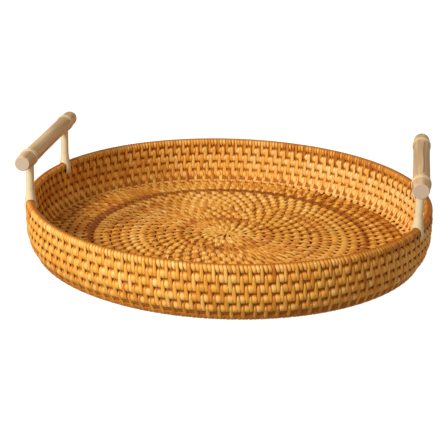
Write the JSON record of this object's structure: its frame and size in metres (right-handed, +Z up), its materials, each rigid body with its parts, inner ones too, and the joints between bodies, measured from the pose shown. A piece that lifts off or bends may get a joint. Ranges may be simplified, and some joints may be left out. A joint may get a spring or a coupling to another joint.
{
  "type": "serving tray",
  "caption": "Round coiled rattan serving tray with an upright bound wall and two straight cane-bar handles on forked posts.",
  "frame": {"origin": "on the floor plane under the middle of the round base, at the bottom centre of the bounding box", "axes": "+Z up, square to the base; the two handle bars run along Y, one over the wall at -X and one at +X"},
  "size_m": [0.2998, 0.2998, 0.0778],
  "materials": {
    "cane_core": "matt peeled cane, seen only in the gaps between strands",
    "peel_binding": "glossy honey-coloured split rattan peel, varnished",
    "bar_cane": "satin whole cane, beige tan with long brown streaks",
    "post_cane": "satin whole cane, pale cream yellow",
    "pin_wood": "raw split cane"
  },
  "bodies": {
    "root": {"base_coil_core": "cane_core", "base_binding": "peel_binding", "centre_knot": "peel_binding", "base_coil_tail": "peel_binding", "wall_core_1": "cane_core", "wall_core_2": "cane_core", "wall_core_3": "cane_core", "wall_core_4": "cane_core", "wall_core_5": "cane_core", "wall_binding_1": "peel_binding", "wall_binding_2": "peel_binding", "wall_binding_3": "peel_binding", "wall_binding_4": "peel_binding", "wall_binding_5": "peel_binding", "rim_core": "cane_core", "rim_binding": "peel_binding", "handle_bar_left": "bar_cane", "handle_bar_right": "bar_cane", "post_left_front": "post_cane", "post_left_rear": "post_cane", "post_right_front": "post_cane", "post_right_rear": "post_cane", "foot_pins": "pin_wood"}
  },
  "joints": []
}
